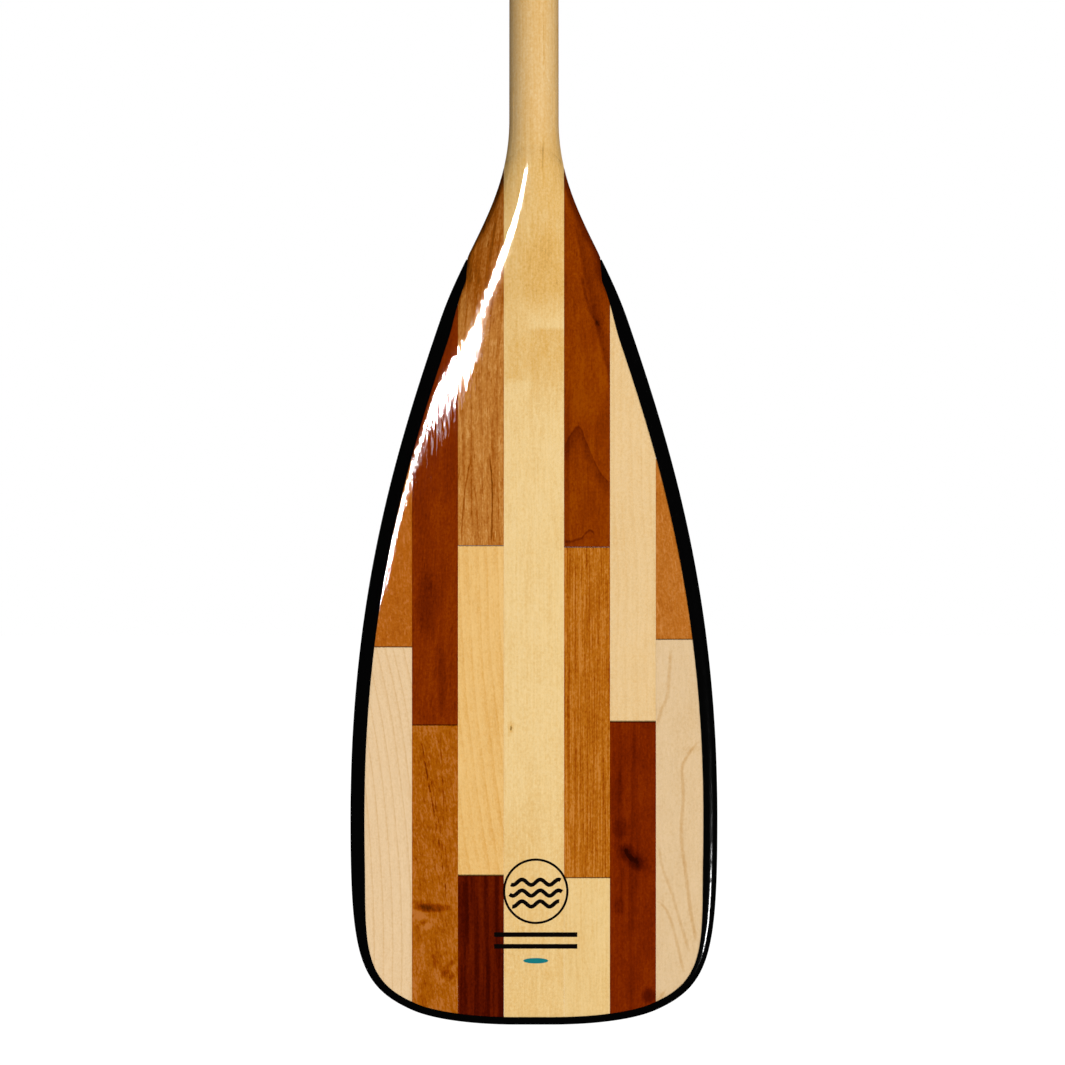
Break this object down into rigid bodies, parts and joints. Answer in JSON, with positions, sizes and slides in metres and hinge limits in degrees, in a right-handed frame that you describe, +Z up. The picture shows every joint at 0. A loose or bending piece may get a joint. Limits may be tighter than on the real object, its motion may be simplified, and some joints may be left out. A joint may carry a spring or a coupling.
{
  "type": "canoe paddle",
  "caption": "Single-bladed laminated wooden canoe paddle with a teardrop blade, bent shaft, resin edge guard and palm grip.",
  "frame": {"origin": "middle of the small flat land at the tip of the blade", "axes": "+Z up the blade towards the shaft, +X across the blade, +Y the way the shaft leans; the shown face looks to -Y"},
  "size_m": [0.2032, 0.1835, 1.3061],
  "materials": {
    "basswood": "varnished pale wood, fine straight grain",
    "red_alder": "varnished red-brown wood with darker streaks",
    "roasted_basswood": "varnished dark heat-treated wood",
    "maple": "varnished cream wood with fine wavy grain",
    "black_resin": "gloss black moulded resin",
    "clear_laminate": "clear glass-fibre and resin skin, high gloss"
  },
  "bodies": {
    "root": {"stave_left_inner_lower": "roasted_basswood", "stave_left_inner_middle": "basswood", "stave_left_inner_upper": "red_alder", "stave_left_middle_lower": "red_alder", "stave_left_middle_upper": "roasted_basswood", "stave_left_outer_lower": "maple", "stave_left_outer_upper": "red_alder", "stave_right_inner_lower": "basswood", "stave_right_inner_middle": "red_alder", "stave_right_inner_upper": "roasted_basswood", "stave_right_middle_lower": "roasted_basswood", "stave_right_middle_upper": "basswood", "stave_right_outer_lower": "maple", "stave_right_outer_upper": "red_alder", "shaft_layer_front_outer": "basswood", "shaft_layer_front_inner": "basswood", "shaft_layer_core": "basswood", "shaft_layer_back_inner": "basswood", "shaft_layer_back_outer": "basswood", "edge_guard": "black_resin", "blade_skin_front": "clear_laminate", "blade_skin_back": "clear_laminate", "grip_cheek_left": "red_alder", "grip_cheek_right": "red_alder"}
  },
  "joints": []
}
